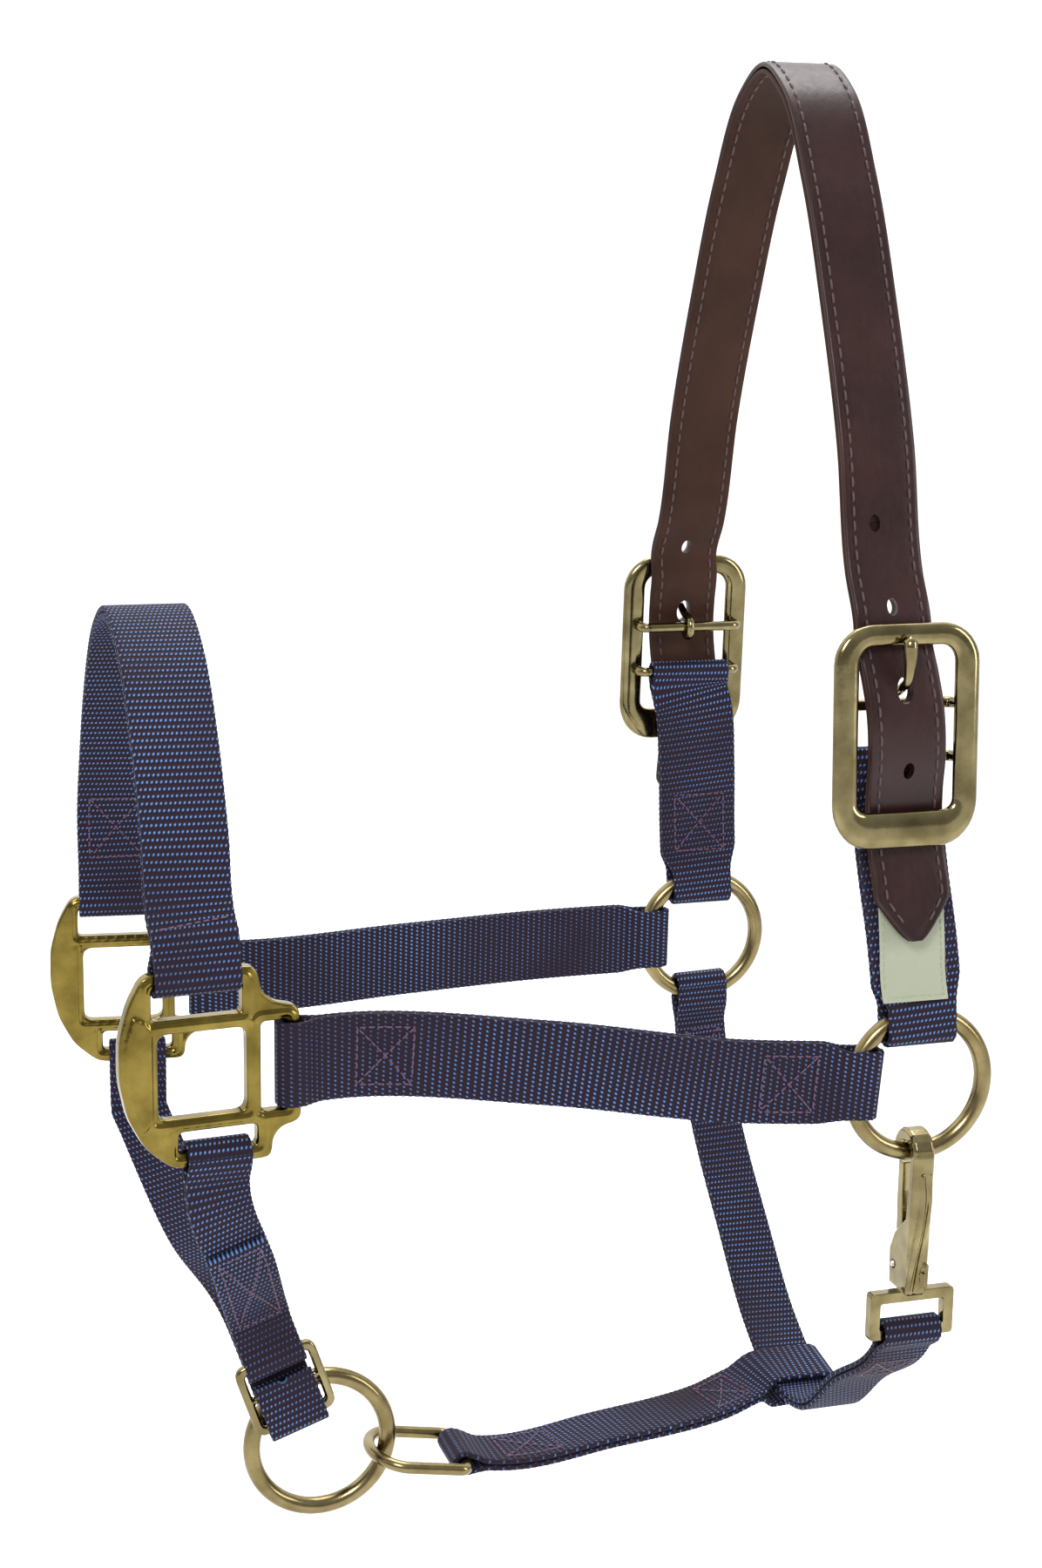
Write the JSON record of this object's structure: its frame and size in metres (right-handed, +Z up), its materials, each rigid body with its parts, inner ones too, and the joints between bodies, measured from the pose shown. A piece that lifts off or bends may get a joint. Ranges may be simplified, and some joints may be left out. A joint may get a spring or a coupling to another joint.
{
  "type": "headcollar",
  "caption": "Webbing headcollar for a horse with a buckled leather crown strap, cast squares, round rings, an adjustable chin strap and a throat snap.",
  "frame": {"origin": "poll seat: the underside of the crown strap at its highest point, in the middle of its width", "axes": "+Z up, -X towards the horse's nose, -Y towards the near (left) side, +Y towards the far side"},
  "size_m": [0.2642, 0.1941, 0.4489],
  "materials": {
    "leather": "dark brown bridle leather, dull sheen",
    "lining": "dark brown leather, flesh side out",
    "webbing": "ribbed nylon webbing, navy with a violet cast",
    "brass": "tumbled solid brass, slightly aged",
    "pale_brass": "polished pale brass plate",
    "steel": "plain steel",
    "label": "woven label cloth, blank"
  },
  "bodies": {
    "crown": {"crown_outer": "leather", "crown_lining": "lining", "near_buckle_frame": "pale_brass", "far_buckle_frame": "pale_brass", "near_tab": "webbing", "far_tab": "webbing", "near_label": "label"},
    "near_tongue": {"near_tongue": "pale_brass"},
    "far_tongue": {"far_tongue": "pale_brass"},
    "near_ring": {"near_cheek_ring": "brass"},
    "far_ring": {"far_cheek_ring": "brass"},
    "face": {"near_square": "brass", "far_square": "brass", "near_cheek_strap": "webbing", "far_cheek_strap": "webbing", "noseband": "webbing", "near_chin_strap": "webbing", "near_chin_overlay": "webbing", "far_chin_strap": "webbing", "chin_slide": "pale_brass", "jaw_strap": "webbing", "throat_strap": "webbing", "snap_body": "pale_brass", "snap_pin": "steel", "snap_spring": "steel"},
    "chin_ring": {"chin_ring": "brass"},
    "link": {"link_ring": "brass"},
    "gate": {"snap_gate": "pale_brass"}
  },
  "joints": [
    {"name": "cheek_swing", "type": "hinge", "parent": "crown", "child": "face", "pos_m": [0.012, 0, -0.3], "axis": [0, 1, 0], "range_deg": [-50, 0]},
    {"name": "near_ring_spin", "type": "hinge", "parent": "crown", "child": "near_ring", "pos_m": [0.012, -0.09, -0.3], "axis": [0, 1, 0], "continuous": true},
    {"name": "far_ring_spin", "type": "hinge", "parent": "crown", "child": "far_ring", "pos_m": [0.012, 0.09, -0.3], "axis": [0, 1, 0], "continuous": true},
    {"name": "chin_ring_spin", "type": "hinge", "parent": "face", "child": "chin_ring", "pos_m": [-0.1605, -0.033, -0.4205], "axis": [0, 1, 0], "continuous": true},
    {"name": "link_swing", "type": "hinge", "parent": "face", "child": "link", "pos_m": [-0.11586, -0.033, -0.4303], "axis": [0, 1, 0], "range_deg": [-3, 3]},
    {"name": "near_tongue_lift", "type": "hinge", "parent": "crown", "child": "near_tongue", "pos_m": [0.0025, -0.08355, -0.18438], "axis": [1, 0, 0], "range_deg": [0, 6]},
    {"name": "far_tongue_lift", "type": "hinge", "parent": "crown", "child": "far_tongue", "pos_m": [0.0025, 0.08355, -0.18438], "axis": [-1, 0, 0], "range_deg": [0, 6]},
    {"name": "gate_open", "type": "hinge", "parent": "face", "child": "gate", "pos_m": [0.012, -0.0858, -0.3595], "axis": [1, 0, 0], "range_deg": [0, 12], "stiffness_Nm_per_rad": 0.05, "springref_deg": -20.05, "deforming": ["snap_spring"]}
  ]
}
